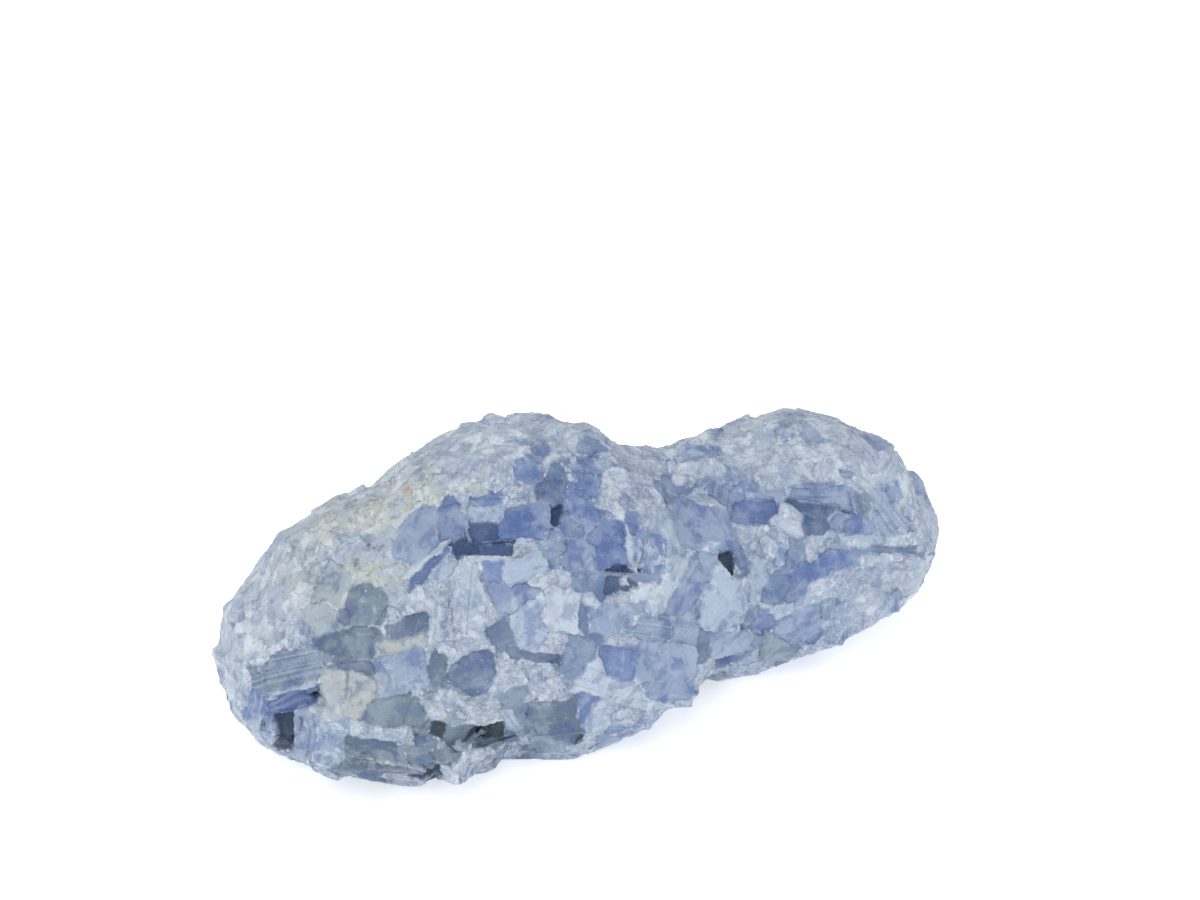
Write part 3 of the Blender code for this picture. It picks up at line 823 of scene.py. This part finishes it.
grain_colours = np.array([grain.colour for grain in grains])
colours = with_neighbour(grain_colours[owner], grain_colours[runner_up], COLOUR_BLEND)
grain_ways = np.array([grain.ways for grain in grains])
grain_place = np.einsum("pij,pj->pi", grain_ways[owner], points)
striped = np.array([float(grain.stripes) for grain in grains])[owner]
# How far each point's grain is sunk, which keeps the painted shade in the notches dark.
deep = np.clip(-shifts[owner] / DARKEST_SHIFT, 0, 1)
milky_ways = draws.normal(size=facings.shape)
milky_ways /= np.linalg.norm(milky_ways, axis=1)[:, None]
milky = 0.5 + ((points - middles[owner]) * milky_ways[owner]).sum(axis=1) / MILKY_REACH
milky = np.clip(milky, 0, 1)

from_warmest = np.linalg.norm(points - np.array(seen_at(*WARM_MIDDLE)), axis=1)
warm = np.clip(WARM_HEART - from_warmest / WARM_REACH, LEAST_WARM, 1)

stain = np.zeros(count)
for across, up, reach, strength in STAINS:
    away = np.linalg.norm(points - np.array(seen_at(across, up)), axis=1)
    stain = np.maximum(stain, strength * np.exp(-((away / reach) ** 2)))

# What the mesh carries for the material to read.
point_values = {
    "border": border,
    "ridge": ridge,
    "crevice": crevice,
    "sugar": sugar,
    "rind": rind,
    "striped": striped,
    "milky": milky,
    "deep": deep,
    "step": step,
    "warm": warm,
    "stain": stain,
    "chip_shade": chip_shade,
}
for name, values in point_values.items():
    carried = lump.data.attributes.new(name, "FLOAT", "POINT")
    carried.data.foreach_set("value", values[back].astype(np.float32))
cleavage = lump.data.attributes.new("cleavage", "FLOAT_VECTOR", "POINT")
cleavage.data.foreach_set("vector", grain_place[back].astype(np.float32).ravel())
tint = lump.data.attributes.new("tint", "FLOAT_COLOR", "POINT")
with_alpha = np.concatenate([colours, np.ones((count, 1))], axis=1)
tint.data.foreach_set("color", with_alpha[back].astype(np.float32).ravel())

triangles = sum(len(face.vertices) - 2 for face in lump.data.polygons)
if triangles > MOST_TRIANGLES:
    with_modifier(lump, "fewer triangles", "DECIMATE", ratio=MOST_TRIANGLES / triangles)

# Crumbs that came loose while the mesh was made even are taken away.
whole = bmesh.new()
whole.from_mesh(lump.data)
waiting = [max(whole.verts, key=lambda vertex: vertex.co.z)]
joined = set(waiting)
while waiting:
    for edge in waiting.pop().link_edges:
        for vertex in edge.verts:
            if vertex not in joined:
                joined.add(vertex)
                waiting.append(vertex)
crumbs = [vertex for vertex in whole.verts if vertex not in joined]
bmesh.ops.delete(whole, geom=crumbs, context="VERTS")
whole.to_mesh(lump.data)
whole.free()
lump.data.shade_smooth()
lump.data.set_sharp_from_angle(angle=SHARP_TURN)


class Flow:
    """A value on its way through a shader. Python's operators on it add Math nodes."""

    def __init__(self, tree, socket=None):
        self.tree = tree
        self.socket = socket

    def node(self, kind, settings=None, inputs=None, output=0):
        """Adds a node, gives it its settings and then its inputs, and returns one output."""
        made = self.tree.nodes.new(kind)
        for name, value in (settings or {}).items():
            setattr(made, name, value)
        for name, value in (inputs or {}).items():
            if isinstance(value, Flow):
                self.tree.links.new(value.socket, made.inputs[name])
            else:
                made.inputs[name].default_value = value
        return Flow(self.tree, made.outputs[output])

    def maths(self, operation, *values):
        """Adds one Math node."""
        return self.node("ShaderNodeMath", {"operation": operation}, dict(enumerate(values)))

    def __add__(self, other):
        return self.maths("ADD", self, other)

    def __sub__(self, other):
        return self.maths("SUBTRACT", self, other)

    def __rsub__(self, other):
        return self.maths("SUBTRACT", other, self)

    def __mul__(self, other):
        return self.maths("MULTIPLY", self, other)

    __radd__ = __add__
    __rmul__ = __mul__

    def between(self, low, high):
        """0 below one value and 1 above the other, with a soft rise."""
        return self.node(
            "ShaderNodeMapRange",
            {"interpolation_type": "SMOOTHSTEP"},
            {"Value": self, "From Min": low, "From Max": high},
        )

    def mixed(self, first, second):
        """A colour that goes from the first to the second as this value goes from 0 to 1."""
        return self.node(
            "ShaderNodeMix", {"data_type": "RGBA"}, {"Factor": self, 6: first, 7: second}, 2
        )


def paint(name):
    """A named colour as a shader socket takes it."""
    return (*COLOURS[name], 1)


stone = bpy.data.materials.new("blue calcite")
stone.use_nodes = True
shader = stone.node_tree.nodes["Principled BSDF"]
flow = Flow(stone.node_tree)
place = flow.node("ShaderNodeTexCoord", output="Object")


def attribute(name, output="Fac"):
    """A value that the mesh carries."""
    return flow.node("ShaderNodeAttribute", {"attribute_name": name}, output=output)


def speckle(size, detail, roughness=0.55):
    """Soft spots of the given size in mm, all through the stone."""
    return flow.node(
        "ShaderNodeTexNoise",
        {"noise_dimensions": "3D"},
        {"Vector": place, "Scale": 1 / (size * MM), "Detail": detail, "Roughness": roughness},
    )


def drawn_out(factors, detail, roughness):
    """Noise that lies along each grain, finer or longer by a factor for each way across it."""
    where = flow.node(
        "ShaderNodeVectorMath", {"operation": "MULTIPLY"}, {0: cleavage_place, 1: factors}
    )
    return flow.node(
        "ShaderNodeTexNoise",
        {"noise_dimensions": "3D"},
        {"Vector": where, "Scale": 1, "Detail": detail, "Roughness": roughness},
    )


def bands(scale):
    """Bands along each grain, for its cleavage steps and stripes."""
    across = flow.node("ShaderNodeSeparateXYZ", None, {"Vector": cleavage_place}, 1)
    return flow.node(
        "ShaderNodeTexNoise",
        {"noise_dimensions": "1D"},
        {"W": across, "Scale": scale, "Detail": 3, "Roughness": 0.7},
    )


def blocks(size, feature="F1", output="Color"):
    """Small cleavage blocks that lie square to the grain they are in."""
    return flow.node(
        "ShaderNodeTexVoronoi",
        {"feature": feature, "distance": "CHEBYCHEV"},
        {"Vector": cleavage_place, "Scale": 1 / size, "Randomness": 0.9},
        output,
    )


cleavage_place = attribute("cleavage", "Vector")
sugar_value = attribute("sugar")
rind_value = attribute("rind")
striped_value = attribute("striped")
warm_value = attribute("warm")
chip_value = attribute("chip_shade")
clear_value = 1 - sugar_value
wide_cloud = speckle(size=7, detail=3)
cloud = speckle(size=3, detail=5, roughness=0.6)
mottle = speckle(size=1.4, detail=6, roughness=0.72)
fine = speckle(size=0.5, detail=4, roughness=0.7)
dust = speckle(size=0.22, detail=2)
streak = drawn_out((0.5, 3, 1.5), detail=5, roughness=0.7)
crush = drawn_out((0.9, 2.2, 1.5), detail=6, roughness=0.85)
stripes = bands(2.2)
WIDE_BLOCK = 2.2
wide_block = blocks(WIDE_BLOCK)
block = blocks(0.9)
block_edge = blocks(WIDE_BLOCK, "F2", "Distance") - blocks(WIDE_BLOCK, "F1", "Distance")
inner = attribute("border").between(0.1, 0.35)
# Sunk grains get less milk, depth, frost and whitening, so the notches' painted shade stays dark.
veil = 1 - attribute("deep") * 0.85
crushed = (0.5 + (crush - 0.5) * inner).between(0.42, 0.6)

# Inside each grain, milk and clear depths, then crushed blocks and sugar.
colour = attribute("tint", "Color")
milk = (cloud + attribute("milky") * 0.3 + wide_block * 0.12).between(0.62, 0.86)
colour = (milk * veil * 0.35).mixed(colour, paint("pale"))
depth = (0.5 - cloud + (0.5 - crush) * 0.3).between(0, 0.12) * clear_value
colour = (depth * veil * 0.55).mixed(colour, paint("depth"))
tone = (block * 0.6 + wide_block * 0.4 - 0.5) * (0.1 + 0.9 * sugar_value) * inner
colour = (tone.between(0, 0.22) * veil).mixed(colour, paint("bright white"))
colour = ((0 - tone).between(0, 0.28) * 0.85).mixed(colour, paint("frost shade"))
sugar_mask = (sugar_value + mottle * 1.2 + chip_value * 0.4 - 1.05).between(0.05, 0.3)
frosted = (crushed * 0.5 + chip_value * 0.5).mixed(paint("frost shade"), paint("bright white"))
colour = (sugar_mask * 0.75).mixed(colour, frosted)

# The rind, grey and cream, with blue showing through, white spots and pits, and its stains.
rind_warmth = wide_cloud.between(0.32, 0.47) * warm_value
rind_colour = rind_warmth.mixed(paint("rind grey"), paint("warm cream"))
rind_cloud = cloud * 0.6 + mottle * 0.4
rind_blue = (0.5 - wide_cloud).between(0, 0.12) * (1 - warm_value)
rind_colour = (rind_blue * 0.4).mixed(rind_colour, paint("light blue"))
rind_white = (rind_cloud + (crush - 0.5) * 0.25 * inner).between(0.48, 0.57)
rind_colour = (rind_white * (0.65 - 0.4 * warm_value)).mixed(rind_colour, paint("white"))
rind_pits = (0.475 - rind_cloud).between(0, 0.06) * (0.45 + 0.4 * warm_value)
pit_colour = warm_value.between(0.2, 0.6).mixed(paint("light blue"), paint("pit green"))
rind_colour = rind_pits.mixed(rind_colour, pit_colour)
rind_colour = (chip_value.between(0.8, 0.84) * 0.6).mixed(rind_colour, paint("bright white"))
rind_colour = (fine.between(0.58, 0.66) * 0.55).mixed(rind_colour, paint("bright white"))
rind_colour = ((0.42 - fine).between(0, 0.1) * 0.25).mixed(rind_colour, pit_colour)
colour = (rind_value * 0.88).mixed(colour, rind_colour)
stain = (attribute("stain") + (mottle - 0.5) * 1.4).between(0.35, 0.9)
colour = (stain * 0.75).mixed(colour, paint("ochre"))

# Stripes and hairlines of cleavage.
colour = (stripes.between(0.45, 0.65) * striped_value * 0.4).mixed(colour, paint("pale"))
colour = ((0.5 - stripes).between(0.02, 0.2) * striped_value * 0.35).mixed(colour, paint("slate"))
hairlines = 1 - block_edge.between(0.01, 0.05)
hairlines = hairlines * cloud.between(0.47, 0.62) * clear_value * inner * veil
colour = (hairlines * 0.2).mixed(colour, paint("bright white"))

# Frost, bruises and painted highlight on the ridges, painted shade in the creases, bright lines
# on the borders that are partly painted highlight, painted shadow under them, and dust and chips
# on it all.
frost_reach = wide_cloud * 2 - 0.85 - attribute("border") + (mottle - 0.5) * 1.6
frost_reach = frost_reach + (crush - 0.5) * 1.2
frost = frost_reach.between(0, 0.2) * (0.2 + 0.8 * sugar_value) * veil
colour = (frost * (0.3 + 0.7 * crushed)).mixed(colour, paint("bright white"))
# Ridges whitened, partly as bruises and partly as painted highlight.
bruise_and_highlight = 1 - (attribute("ridge") + fine * 0.6).between(0.25, 0.5)
colour = (bruise_and_highlight * (0.2 + 0.4 * crushed)).mixed(colour, paint("bright white"))
# Painted shade: slate in the solid's creases.
shade = 1 - (attribute("crevice") + fine * 0.5).between(0.15, 0.8)
colour = (shade * 0.3).mixed(colour, paint("slate"))
# Bright lines on the borders: partly white edges, and painted highlight where a grain stands
# proud of its neighbour.
bright_edge_and_highlight = 1 - (attribute("border") + mottle * 0.3).between(0.18, 0.34)
proud = (0 - attribute("step")).between(-0.1, 0.5)
bright_edge_and_highlight = bright_edge_and_highlight * (proud * 0.6 + streak.between(0.42, 0.55) * 0.4)
bright_edge_and_highlight = bright_edge_and_highlight * (wide_cloud * 0.6 + mottle * 0.4).between(0.4, 0.56)
colour = (bright_edge_and_highlight * 0.9).mixed(colour, paint("bright white"))
# Painted shadow: slate along the borders where the neighbour stands higher.
painted_step_shadow = 1 - (attribute("border") + mottle * 0.4).between(0.2, 0.5)
painted_step_shadow = painted_step_shadow * attribute("step").between(0.1, 0.7)
colour = (painted_step_shadow * 0.25).mixed(colour, paint("slate"))
rough_value = 0.2 + 0.8 * sugar_value
colour = (dust.between(0.52, 0.7) * rough_value * 0.45).mixed(colour, paint("bright white"))
colour = ((0.48 - dust).between(0, 0.18) * rough_value * 0.3).mixed(colour, paint("frost shade"))
chips = fine.between(0.64, 0.69) * mottle.between(0.45, 0.55)
colour = (chips * 0.7).mixed(colour, paint("bright white"))
stone.node_tree.links.new(colour.socket, shader.inputs["Base Color"])

# How it shines, and its finest relief.
roughness = 0.34 + 0.36 * sugar_mask + 0.15 * cloud + 0.3 * attribute("deep")
stone.node_tree.links.new(roughness.socket, shader.inputs["Roughness"])
crushing = (crush - 0.5) * (0.2 + 0.6 * sugar_value) * (1 - 0.6 * rind_value)
relief = (crushing + (stripes - 0.5) * striped_value * 0.5 + (block - 0.5) * 0.3) * inner
relief = relief + fine * (0.15 + 0.4 * sugar_value)
bump = flow.node(
    "ShaderNodeBump", None, {"Height": relief, "Strength": 0.7, "Distance": 0.3 * MM}
)
stone.node_tree.links.new(bump.socket, shader.inputs["Normal"])

lump.data.materials.clear()
lump.data.materials.append(stone)
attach(lump, "root")
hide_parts("calcite_lump")


# The floor. A plain white table top that the lump lies on. It glows a little, so that it stays
# white in the picture.
floor_mesh = bpy.data.meshes.new("floor")
floor_work = bmesh.new()
bmesh.ops.create_grid(floor_work, x_segments=1, y_segments=1, size=2)
floor_work.to_mesh(floor_mesh)
floor_work.free()
floor = bpy.data.objects.new("floor", floor_mesh)
bpy.context.scene.collection.objects.link(floor)
white = bpy.data.materials.new("white table")
white.use_nodes = True
white_look = white.node_tree.nodes["Principled BSDF"].inputs
white_look["Base Color"].default_value = (0.9, 0.9, 0.9, 1)
white_look["Roughness"].default_value = 0.8
white_look["Emission Color"].default_value = (1, 1, 1, 1)
white_look["Emission Strength"].default_value = 0.45
floor_mesh.materials.append(white)


# The studio light. A large soft box above and to the left, a weaker one to the right, and a pale
# sky all round.
def soft_box(name, place, size, power):
    """A square light that faces the middle of the scene, in metres and watts."""
    light = bpy.data.objects.new(name, bpy.data.lights.new(name, "AREA"))
    light.data.size = size
    light.data.energy = power
    light.location = place
    light.rotation_mode = "QUATERNION"
    light.rotation_quaternion = (-Vector(place)).to_track_quat("-Z", "Y")
    bpy.context.scene.collection.objects.link(light)


soft_box("main light", place=(-0.3, -0.3, 0.6), size=0.5, power=2.35)
soft_box("fill light", place=(0.6, -0.2, 0.3), size=0.4, power=0.6)
world = bpy.data.worlds.new("studio")
world.use_nodes = True
sky = world.node_tree.nodes["Background"].inputs
sky["Color"].default_value = (0.97, 0.98, 1, 1)
sky["Strength"].default_value = 0.67
bpy.context.scene.world = world
bpy.context.scene.view_settings.view_transform = "Standard"
